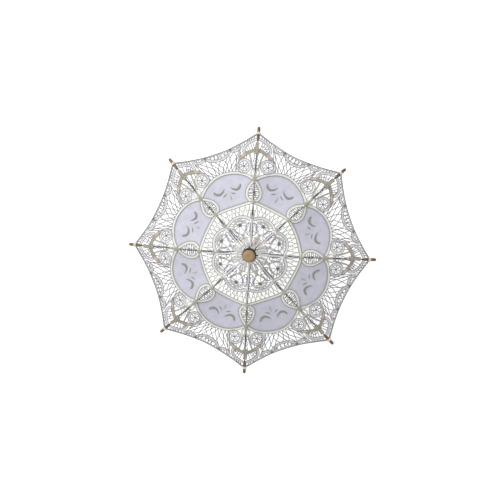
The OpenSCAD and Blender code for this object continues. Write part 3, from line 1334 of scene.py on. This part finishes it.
@dataclass(frozen=True)
class Hem:
    """The hem: a dark cord from tip to tip, and three inward scallops of tape in each gore."""

    node: float = 0.31
    side: float = 0.6
    depth: float = 9.6
    side_depth: float = 5.0
    cells: int = 10
    rows: int = 3

    def line(self, share: Array, inside: float = 0.0) -> Array:
        """The hem's line in a gore's frame."""
        return CANOPY.hem(share, inside)

    def scallops(self) -> list[Array]:
        """The three scallops in a gore's frame, from one rib to the other."""
        a, b, c, d = self.line(np.array([-self.side, -self.node, self.node, self.side]), 2.4)
        return [arc(a, b, -self.side_depth), arc(b, c, -self.depth), arc(c, d, -self.side_depth)]

    def weave(self, loom: Loom, azimuth: float, border: PanelBorder, tip: TipMotif) -> None:
        """The hem cord and its second thread, the scallops and all the net about them.

        Args:
            loom: takes the strands.
            azimuth: azimuth of the motif's frame.
            border: the tapes about the panel.
            tip: the motif near the ribs' tips.
        """
        share = np.linspace(-0.988, 0.988, 61)
        loom.add(azimuth, self.line(share), HEM_CORD, Dye.SLATE, 0.25)
        loom.add(azimuth, self.line(share * 0.97, 1.7), FINE, Dye.MAUVE)
        one, two, three = self.scallops()
        for line in (one, two, three):
            loom.add(azimuth, line, TAPE, Dye.LILAC_WHITE, 0.1)
        for s in (-self.node, self.node):
            patch = self.line(np.linspace(s - 0.035, s + 0.035, 7), 2.2)
            loom.add(azimuth, patch, Stitching(1.9, 0.8), Dye.MAUVE, 0.2)
        self.weave_net(loom, azimuth, border, tip, (one, two, three))

    def weave_net(
        self, loom: Loom, azimuth: float, border: PanelBorder, tip: TipMotif, scallops: tuple
    ) -> None:
        """Ladders inside the scallops, and the wide net between them and the panel.

        Args:
            loom: takes the strands.
            azimuth: azimuth of the motif's frame.
            border: the tapes about the panel.
            tip: the motif near the ribs' tips.
            scallops: lines of the three scallops.
        """
        one, two, three = scallops
        inner = self.line(np.linspace(-self.node, self.node, 25), 1.4)
        loom.bars(azimuth, part_of(two, 0.05, 0.95), part_of(inner, 0.05, 0.95), 7, Dye.MAUVE, 0.4, 0.3)
        loom.bars(azimuth, part_of(two, 0.1, 0.9), part_of(inner, 0.1, 0.9), 6, Dye.MAUVE, -0.7)
        for line, first, last in ((one, -self.side, -self.node), (three, self.node, self.side)):
            edge = self.line(np.linspace(first, last, 15), 1.4)
            loom.bars(azimuth, part_of(line, 0.1, 0.9), part_of(edge, 0.1, 0.9), 4, Dye.MAUVE, 0.5, 0.2)
        ends = [turned(tip.arm_end(1), -HALF_DEG), turned(tip.arm_end(-1), HALF_DEG)]
        far = np.vstack([ends[0], one, two, three, ends[1]])
        near = part_of(border.lobe(1.8), 0.26, 0.74)
        self.weave_mesh(loom, azimuth, near, far)
        for sign in (1, -1):
            loop = turned(spline(tip.loop, True), -HALF_DEG)
            flip = np.array([1, sign])
            outer = part_of(loop, 0.2, 0.55)
            bar = np.linspace(at(near, 0.03), at(far, 0.06), 9)
            loom.bars(azimuth, outer[::-1] * flip, bar * flip, 4, Dye.MAUVE, 0.0, 0.3)


    def weave_mesh(self, loom: Loom, azimuth: float, near: Array, far: Array) -> None:
        """A mesh of uneven diamond cells between two lines.

        Knot k of row j lies at the share (k + (j mod 2) / 2) / cells along both lines, and at
        the share j / rows of the way from one to the other. Each knot is joined to the two
        nearest knots of the next row.

        Args:
            loom: The loom that takes the threads.
            azimuth: The gore's turn about the stick, in degrees.
            near: The mesh's inner line in the gore's frame.
            far: The mesh's outer line in the gore's frame.
        """
        rows, k = self.rows, np.arange(self.cells)
        knots = []
        for row in range(rows + 1):
            share = (k + 0.25 + row % 2 / 2 + loom.rng.uniform(-0.17, 0.17, len(k))) / self.cells
            out = (row + loom.rng.uniform(-0.16, 0.16, (len(k), 1)) * (0 < row < rows)) / rows
            knots.append(at(near, share) * (1 - out) + at(far, share) * out)
        for row in range(rows):
            for i in k:
                other = i - 1 + 2 * (row % 2)
                loom.thread(azimuth, knots[row][i], knots[row + 1][i], Dye.MAUVE)
                if 0 <= other < self.cells:
                    loom.thread(azimuth, knots[row][i], knots[row + 1][other], Dye.MAUVE)


@dataclass(frozen=True)
class Sprig:
    """Satin-stitch leaves and dashes on a cloth panel, in the gore's frame."""

    leaf: tuple = ((102.4, 20.6), (98.6, 18.0), (96.2, 13.6), (98.4, 8.4), (103.2, 4.2))
    dash: tuple = ((90.6, 9.9), (92.3, 6.6), (94.8, 3.0))
    spray: tuple = ((92.0, -1.4), (87.5, -0.9), (83.0, -1.2))
    shift: float = 1.2

    def weave(self, loom: Loom, azimuth: float) -> None:
        """Two leaves and two dashes, mirrored about the midline, and three fine sprays.

        Args:
            loom: takes the strands.
            azimuth: azimuth of the motif's frame.
        """
        move = np.array([0, self.shift])
        for sign in (1, -1):
            flip = np.array([1, sign])
            leaf = spline(self.leaf) * flip + move
            loom.add(azimuth, leaf, Stitching(1.9, 0.5, 0.58), Dye.TAUPE, 0.15)
            # A lighter sand stitch along the thick end of each leaf is a painted highlight.
            loom.add(azimuth, part_of(leaf, 0.1, 0.4) + [0.8, 0], Stitching(0.9, 0.5), Dye.SAND, 0.3)
            loom.add(azimuth, spline(self.dash) * flip + move, Stitching(0.85, 0.45), Dye.TAUPE, 0.1)
        for turn in (-7.0, 0.0, 7.0):
            spray = turned(np.array(self.spray) - self.spray[0], turn) + self.spray[0]
            loom.add(azimuth, spray + move, Stitching(0.4, 0.35), Dye.MOSS_PALE, 0.1)


@dataclass(frozen=True)
class ClothPanel:
    """Half of a cloth panel, cut along the seam's line, and its place in the pattern."""

    thick: float = 0.35
    lift: float = -0.28
    across: int = 30
    out: int = 44
    cut: tuple = (0.046, 0.052)
    cut_area: float = 0.001665
    deep_mm: float = 46.0
    wide_mm: float = 80.0
    # how far in from the edges the painted shade is full, and then how far it takes to fade
    shade_full_mm: float = 1.5
    soft_mm: float = 4.5

    def plan(self, middle: Middle, border: PanelBorder) -> Array:
        """The half panel's grid of plan points in the gore's frame.

        It is a Coons patch: the sum of the two blends of opposite edges, less the blend of
        the four corners. The edges are the ring's side, the panel's round outer edge and
        the two leaves, and the half runs from the leaf to the midline.

        Args:
            middle: the round of lace inside the panel.
            border: the tapes about the panel.

        Returns:
            The grid, across by out by two.
        """
        u = np.linspace(0, 0.5, self.across)[:, None, None]
        v = np.linspace(0, 1, self.out)[None, :, None]
        rib = turned(border.leaf_side(), -HALF_DEG)
        left = at(rib, v[0, :, 0])[None]
        right = mirrored(left[0])[None]
        corner_in, corner_out = rib[0], rib[-1]
        rise = middle.ring_r * math.cos(HALF) + middle.ring_rise - corner_in[0]
        inner = at(arc(corner_in, mirrored(corner_in), rise), u[:, 0, 0])[:, None]
        outer = at(arc(corner_out, mirrored(corner_out), border.lobe_rise, 65), u[:, 0, 0])[:, None]
        edges = (1 - v) * inner + v * outer + (1 - u) * left + u * right
        a, b = corner_in, mirrored(corner_in)
        c, d = corner_out, mirrored(corner_out)
        return edges - ((1 - v) * ((1 - u) * a + u * b) + v * ((1 - u) * c + u * d))

    def build(
        self, name: str, azimuth: float, side: int, middle: Middle, border: PanelBorder
    ) -> bpy.types.Object:
        """Builds one half panel as a thin closed shell.

        Args:
            name: the piece's name.
            azimuth: azimuth of the gore's midline.
            side: 1 for the half on the clockwise side of the midline, -1 for the other.
            middle: the round of lace inside the panel.
            border: the tapes about the panel.

        Returns:
            The piece.
        """
        own = self.plan(middle, border) * [1, side]
        rows, cols = own.shape[:2]
        plan = Loom.uneven(turned(own.reshape(-1, 2), azimuth))
        x, y = own[..., 0].ravel(), own[..., 1].ravel()
        u = np.repeat(np.linspace(0, 0.5, rows), cols)
        v = np.tile(np.linspace(0, 1, cols), rows)
        fade = np.sin(math.pi * np.clip(u, 0, 0.5)) * np.sin(math.pi * v)
        ripple = 0.35 * np.sin(x / 3.1 + 0.35 * np.abs(y))
        ripple = ripple + 0.3 * np.sin(x / 7.0 - np.abs(y) / 4.3 + azimuth)
        lift = self.lift + 0.5 * fade * ripple
        top, _ = CANOPY.lay(plan, lift + self.thick / 2)
        low, _ = CANOPY.lay(plan, lift - self.thick / 2)
        i, j = np.meshgrid(np.arange(rows - 1), np.arange(cols - 1), indexing="ij")
        a = (i * cols + j).ravel()
        face = np.stack([a, a + 1, a + cols + 1, a + cols], axis=1)
        n = rows * cols
        rim = np.r_[
            np.arange(cols - 1), np.arange(rows - 1) * cols + cols - 1,
            n - 1 - np.arange(cols - 1), (rows - 1 - np.arange(rows - 1)) * cols,
        ]  # fmt: skip
        nxt = np.roll(rim, -1)
        wall = np.stack([rim, rim + n, nxt + n, nxt], axis=1)
        quads = np.vstack([face, face[:, ::-1] + n])
        if side < 0:
            quads, wall = quads[:, ::-1], wall[:, ::-1]
        parts = MeshParts()
        cut = np.tile(np.c_[x, y, np.zeros(n)], (2, 1))
        # Painted shade near the panel's edges: "turning" is 1 there and fades to 0 further in.
        inside = np.minimum(np.minimum(v, 1 - v) * self.deep_mm, u * self.wide_mm)
        turning = np.tile(1 - smooth((inside - self.shade_full_mm) / self.soft_mm), 2)
        parts.add(np.vstack([top, low]), quads, list(wall), cut=cut, turning=turning)
        return parts.write(name)


class CanopyCover:
    """The lace canopy: sixteen half gores of lace, each with its half panel of cloth."""

    def __init__(self) -> None:
        """Sets out the motifs."""
        self.middle = Middle()
        self.border = PanelBorder()
        self.tip = TipMotif()
        self.hem = Hem()
        self.sprig = Sprig()
        self.panel = ClothPanel()
        self.fold_mm = 15.0

    def weave_lace(self) -> list[MeshParts]:
        """Weaves the whole round of lace.

        Returns:
            The parts of the sixteen half gores' meshes.
        """
        loom = Loom(CANOPY, 8)
        for k in range(GORES):
            rib, seam = k * GORE_DEG, k * GORE_DEG + HALF_DEG
            self.middle.weave_gore(loom, seam)
            self.middle.weave_rib(loom, rib)
            self.border.weave_gore(loom, seam, self.middle)
            self.border.weave_rib(loom, rib)
            self.tip.weave(loom, rib, self.hem)
            self.hem.weave(loom, seam, self.border, self.tip)
        for azimuth, radius in ((74.0, 24.8), (124.0, 28.4), (40.0, 45.5), (291.0, 27.0)):
            patch = arc(polar(radius, azimuth - 6), polar(radius, azimuth + 6), 0.6, 9)
            loom.add(0, patch, Stitching(2.0, 0.8), Dye.ROSE, 0.4)
        return loom.knit()

    def weave_sprigs(self) -> list[MeshParts]:
        """Embroiders the eight panels.

        Returns:
            The parts of the sixteen half gores' meshes.
        """
        loom = Loom(CANOPY, 3)
        for k in range(GORES):
            self.sprig.weave(loom, k * GORE_DEG + HALF_DEG)
        return loom.knit()

    def attach(self, obj: bpy.types.Object) -> None:
        """Bakes a half gore's piece's placement into its mesh, and logs the piece.

        Args:
            obj: the piece.
        """
        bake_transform(obj)
        report(obj)

    def build(self) -> None:
        """Builds the lace, the cloth and the embroidery of every half gore."""
        lace, sprigs = self.weave_lace(), self.weave_sprigs()
        for half in range(2 * GORES):
            gore, second = half // 2 + 1, half % 2
            mark = f"{gore}{'ab'[second]}"
            net = WARDROBE.dress(lace[half].write(f"lace_{mark}"), "lace")
            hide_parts(f"gore_{mark}")
            leaf = WARDROBE.dress(sprigs[half].write(f"sprig_{mark}"), "lace")
            side = -1 if second else 1
            azimuth = (gore - 1) * GORE_DEG + HALF_DEG
            cloth = self.panel.build(f"cloth_{mark}", azimuth, side, self.middle, self.border)
            WARDROBE.dress(cloth, "cloth")
            for piece in (net, leaf, cloth):
                self.attach(piece)


# ---------------------------------------------------------------- turned wood


@dataclass(frozen=True)
class Turning:
    """A solid turned on a lathe.

    The profile's points (radius, distance along) are joined by a smooth line, which turns
    about the axis: the vertex at angle a and profile point i is r_i (cos a, sin a), z_i.
    A blind bore is set before the profile, as its end's middle, its end's edge and its
    mouth. Where a bore goes through, the profile's last point is joined to its first.
    """

    profile: tuple
    around: int = 72
    per: int = 5
    bore: tuple = ()
    through: bool = False

    def build(self, name: str, origin: Array, axis: Array) -> bpy.types.Object:
        """Builds the solid.

        Args:
            name: the piece's name.
            origin: where the distance along is 0.
            axis: the way along the lathe's axis.

        Returns:
            The piece, with its own millimetres in the vertex attribute "grain".
        """
        line = spline(self.profile, per=self.per)
        if self.bore:
            line = np.vstack([self.bore, line])
        r, z = np.maximum(line[:, 0], 0.02), line[:, 1]
        a = np.arange(self.around) / self.around * 2 * math.pi
        level = np.broadcast_to(z[:, None], (len(z), self.around))
        own = np.stack([r[:, None] * np.cos(a), r[:, None] * np.sin(a), level], axis=-1)
        w = np.asarray(axis, float) / np.linalg.norm(axis)
        u = np.cross([0, 1, 0], w)
        u = u / np.linalg.norm(u) if np.linalg.norm(u) > 1e-6 else np.array([1.0, 0, 0])
        v = np.cross(w, u)
        world = origin + own[..., :1] * u + own[..., 1:2] * v + own[..., 2:] * w
        quads, caps = tube_faces(len(z), self.around, self.through)
        parts = MeshParts()
        parts.add(world.reshape(-1, 3), quads, caps, grain=own.reshape(-1, 3))
        return parts.write(name)


FINIAL = Turning(
    (
        (2.53, 287.22), (4.0, 287.22), (6.5, 287.24), (6.95, 287.8),
        (6.95, 288.8), (6.4, 289.4), (5.6, 289.9),
        (5.1, 291.2), (4.9, 292.8), (5.5, 293.4), (5.8, 294.1),
        (5.5, 294.8), (4.9, 295.4), (4.8, 297.0),
        (5.4, 298.5), (6.8, 299.7), (7.9, 301.4), (8.45, 303.6),
        (8.45, 305.4), (8.1, 307.2), (7.3, 308.7),
        (6.1, 309.6), (4.6, 309.88), (2.4, 309.84), (1.75, 309.76),
        (1.5, 309.45), (1.3, 309.72), (0.02, 309.8),
    ),
    96,
    bore=((0.02, 295.2), (2.53, 295.2)),
)  # fmt: skip
FOOT = Turning(
    (
        (0.02, 0.02), (3.0, 0.02), (4.8, 0.1), (6.4, 1.2),
        (7.6, 3.1), (7.98, 5.5), (7.6, 7.9), (6.5, 9.8),
        (5.5, 11.0), (5.05, 12.2), (5.1, 12.95), (3.0, 13.0), (0.02, 13.0),
    ),
)  # fmt: skip
GRIP = Turning(
    (
        (4.53, 13.0), (5.4, 13.0), (6.3, 13.05), (6.6, 13.9),
        (6.5, 14.8), (7.4, 15.7), (7.88, 17.0), (7.4, 18.3),
        (6.6, 19.2), (6.75, 20.0), (7.6, 20.7), (8.0, 22.0),
        (8.0, 27.0), (8.0, 32.0), (7.75, 32.5), (8.0, 33.0),
        (8.0, 46.0), (8.0, 58.0), (7.75, 58.5), (8.0, 59.0),
        (8.0, 64.0), (8.0, 69.0), (7.9, 71.0), (7.4, 74.0),
        (6.8, 76.9), (6.3, 78.2), (6.3, 79.0), (7.1, 79.7),
        (7.4, 81.0), (7.0, 82.3), (6.0, 83.0), (5.4, 83.6),
        (4.7, 83.6), (4.55, 83.4),
    ),
    through=True,
)  # fmt: skip
RIB_TIP = Turning(
    (
        (1.0, 0.05), (1.6, 0.0), (1.85, 0.3), (2.15, 1.6),
        (2.45, 3.6), (2.5, 6.5), (2.5, 8.9), (2.25, 9.5),
        (2.2, 10.7), (2.25, 11.9), (2.5, 12.5), (2.5, 15.5),
        (2.5, 19.5), (2.42, 21.0), (2.05, 22.3),
        (1.35, 23.15), (0.6, 23.45), (0.02, 23.5),
    ),
    40,
    4,
    bore=((0.02, 8.05), (1.0, 8.05)),
)  # fmt: skip


@dataclass(frozen=True)
class Stick:
    """The wooden stick's turned ends: finial, grip and foot."""

    def build(self) -> None:
        """Builds the three turnings and lets them ride on the stick."""
        rows = (
            ("finial", FINIAL, "finial"),
            ("handle_grip", GRIP, "handle"),
            ("handle_foot", FOOT, "handle"),
        )
        for node, turning, finish in rows:
            obj = turning.build(f"turned_{node}", np.zeros(3), np.array([0.0, 0.0, 1.0]))
            WARDROBE.dress(obj, finish)
            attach(obj, "stick")
            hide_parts(node)
            report(obj)


@dataclass(frozen=True)
class RibTips:
    """Eight wooden rib tips, each with the thread that ties the canopy's corner to it."""

    length: float = 23.5
    tie_at: float = 10.7
    wraps: int = 8
    yarn: float = 0.36

    def tie_line(self) -> Array:
        """The wound thread in the tip's own frame.

        It winds round the tie groove and back over itself, so the angle grows evenly while
        the distance along runs out and back, and then it ends in a short cross wrap.

        Returns:
            The line's points, one a row.
        """
        t = np.linspace(0, 1, self.wraps * 20)
        a = t * self.wraps * 2 * math.pi
        z = self.tie_at + 1.7 * np.sin((t * 2 - 0.5) * math.pi)
        r = 2.5 + self.yarn * 0.9 + 0.35 * (t > 0.5) * smooth((t - 0.5) * 12)
        return np.c_[r * np.cos(a), r * np.sin(a), z]

    def build_tie(self, name: str, origin: Array, axis: Array, side: Array) -> bpy.types.Object:
        """Builds a tie: the wound thread, its knot and two short ends.

        A round section of eight points is carried along each line, in the frame of the
        line's direction and the way out from the tip's axis.

        Args:
            name: the piece's name.
            origin: where the tip's own frame stands.
            axis: the way along the tip.
            side: the level way across the tip.

        Returns:
            The piece.
        """
        up = np.cross(side, axis)
        knot_a = np.linspace(0, 2.2 * 2 * math.pi, 40)
        z = self.tie_at
        rise = z + 0.5 * np.sin(knot_a * 0.5 + 0.4)
        knot = np.c_[2.9 + 0.75 * np.cos(knot_a), 0.75 * np.sin(knot_a), rise]
        tails = [
            spline([(2.9, 0.3, z), (3.3, s * 1.6, z - 1.2), (3.0, s * 2.8, z - 3.6)]) for s in (-1, 1)
        ]
        parts = MeshParts()
        for line in (self.tie_line(), knot, *tails):
            t = np.gradient(line, axis=0)
            t /= np.linalg.norm(t, axis=1, keepdims=True)
            out = line * [1, 1, 0]
            out = out - t * np.sum(out * t, axis=1, keepdims=True)
            out /= np.maximum(np.linalg.norm(out, axis=1, keepdims=True), 1e-9)
            b = np.cross(out, t)
            a = np.arange(8) / 8 * 2 * math.pi
            c, d = np.cos(a)[None, :, None], np.sin(a)[None, :, None]
            ring = line[:, None] + self.yarn * (c * b[:, None] + d * out[:, None])
            world = origin + ring[..., :1] * up + ring[..., 1:2] * side + ring[..., 2:] * axis
            quads, caps = tube_faces(len(line), 8, False)
            count = len(line) * 8
            parts.add(
                world.reshape(-1, 3),
                quads,
                caps,
                along=np.repeat(lengths(line), 8),
                across=np.zeros(count),
                dye=np.tile(Dye.IVORY.value, (count, 1)),
            )
        return parts.write(name)

    def build(self) -> None:
        """Builds the eight tips and ties; each rides on its rib."""
        middle, way = CANOPY.rib_point(self.length / 2)
        for k in range(1, GORES + 1):
            spin = np.array(Matrix.Rotation(math.radians((k - 1) * GORE_DEG), 3, "Z"))
            axis, side = spin @ way, spin @ np.array([0.0, -1.0, 0.0])
            origin = spin @ (middle - way * self.length / 2)
            tip = WARDROBE.dress(RIB_TIP.build(f"turned_rib_tip_{k}", origin, axis), "tips")
            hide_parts(f"rib_tip_{k}")
            tie = WARDROBE.dress(self.build_tie(f"tie_{k}", origin, axis, side), "lace")
            for obj, slot in ((tip, "tip_wood"), (tie, "lace")):
                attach(obj, f"rib_{k}")
                report(obj)


@dataclass(frozen=True)
class MetalFrame:
    """The CAD parts that stay: they get their finishes."""

    finishes: tuple = (
        ("shaft", "shaft"), ("crown_washer", "black"), ("top_notch", "nickel"), ("notch_wire", "wire"),
        ("runner_wire", "wire"), ("runner", "nickel"), ("spring_catch", "nickel"), ("stop_pin", "nickel"),
        ("joint_rivet", "nickel"), ("stretcher", "bright wire"), ("rib_tip", ""), ("rib", "wire"),
    )  # fmt: skip

    def dress(self) -> None:
        """Dresses every CAD node that still shows, by the start of its name."""
        for name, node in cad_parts.items():
            finish = next((f for start, f in self.finishes if name.startswith(start)), "")
            if finish and not node.hide_render:
                WARDROBE.dress(node, finish)
                report(node)


# ---------------------------------------------------------------- the studio


@dataclass(frozen=True)
class Studio:
    """A white floor, soft light from above and from the left, and the camera overhead."""

    tilt: float = 4.96
    tilt_azimuth: float = 60.5
    roll: float = 3.44
    distance: float = 900.0
    focus_px: float = 599.5
    aim_z: float = 240.0
    sensor: float = 36.0
    shift: tuple = (-0.0018, 0.0056)
    frame_px: float = 500.0
    sky: float = 0.55

    def add_camera(self) -> None:
        """The camera looks down on the canopy, a little off the stick's axis."""
        tilt, azimuth, roll = (math.radians(v) for v in (self.tilt, self.tilt_azimuth, self.roll))
        side, level = math.sin(tilt), math.cos(tilt)
        back = Vector((side * math.cos(azimuth), side * math.sin(azimuth), level))
        top = Vector((-math.sin(roll), math.cos(roll), 0))
        right = top.cross(back).normalized()
        up = back.cross(right)
        data = bpy.data.cameras.new("camera")
        data.sensor_width = self.sensor
        data.lens = self.focus_px * self.sensor / self.frame_px
        data.shift_x, data.shift_y = self.shift
        data.clip_start, data.clip_end = 0.01, 50
        camera = bpy.data.objects.new("camera", data)
        camera.matrix_world = Matrix.Translation(
            Vector((0, 0, self.aim_z * MM)) + back * self.distance * MM
        ) @ Matrix((right, up, back)).transposed().to_4x4()
        bpy.context.scene.collection.objects.link(camera)
        bpy.context.scene.camera = camera

    def add_light(self, name: str, spot: Vector, size: float, power: float) -> None:
        """A square area light that looks at the canopy.

        Args:
            name: the light's name.
            spot: where the light stands, in metres.
            size: the light's side in metres.
            power: its power in watts.
        """
        data = bpy.data.lights.new(name, "AREA")
        data.size, data.energy = size, power
        light = bpy.data.objects.new(name, data)
        light.location = spot
        light.rotation_euler = (spot - Vector((0, 0, 0.2))).to_track_quat("Z", "Y").to_euler()
        bpy.context.scene.collection.objects.link(light)

    def add_floor(self) -> None:
        """A wide round floor under the handle's foot."""
        n = 96
        i = np.arange(n)
        a = i / n * 2 * math.pi
        rim = np.c_[np.cos(a), np.sin(a), np.zeros(n)] * 6000
        inner = rim * 0.05
        parts = MeshParts()
        quads = np.stack([i, (i + 1) % n, n + (i + 1) % n, n + i], axis=1)[:, ::-1]
        parts.add(np.vstack([inner, rim]) - [0, 0, 0.2], quads, [i])
        floor = parts.write("floor")
        WARDROBE.dress(floor, "floor")

    def build(self) -> None:
        """Builds the floor, the world, the lights and the camera."""
        self.add_floor()
        self.add_camera()
        world = bpy.data.worlds.new("world")
        world.use_nodes = True
        background = world.node_tree.nodes["Background"]
        background.inputs[0].default_value = (1.0, 1.0, 1.0, 1.0)
        background.inputs[1].default_value = self.sky
        bpy.context.scene.world = world
        bpy.context.scene.view_settings.view_transform = "Standard"
        self.add_light("key", Vector((-1.1, 1.0, 1.5)), 0.8, 21)
        self.add_light("top", Vector((0.3, -0.2, 2.4)), 1.6, 9)


def main() -> None:
    """Builds the parasol and its studio."""
    logging.basicConfig(level=logging.INFO, format="%(message)s")
    Studio().build()
    CanopyCover().build()
    Stick().build()
    RibTips().build()
    MetalFrame().dress()


if __name__ == "__main__":
    main()
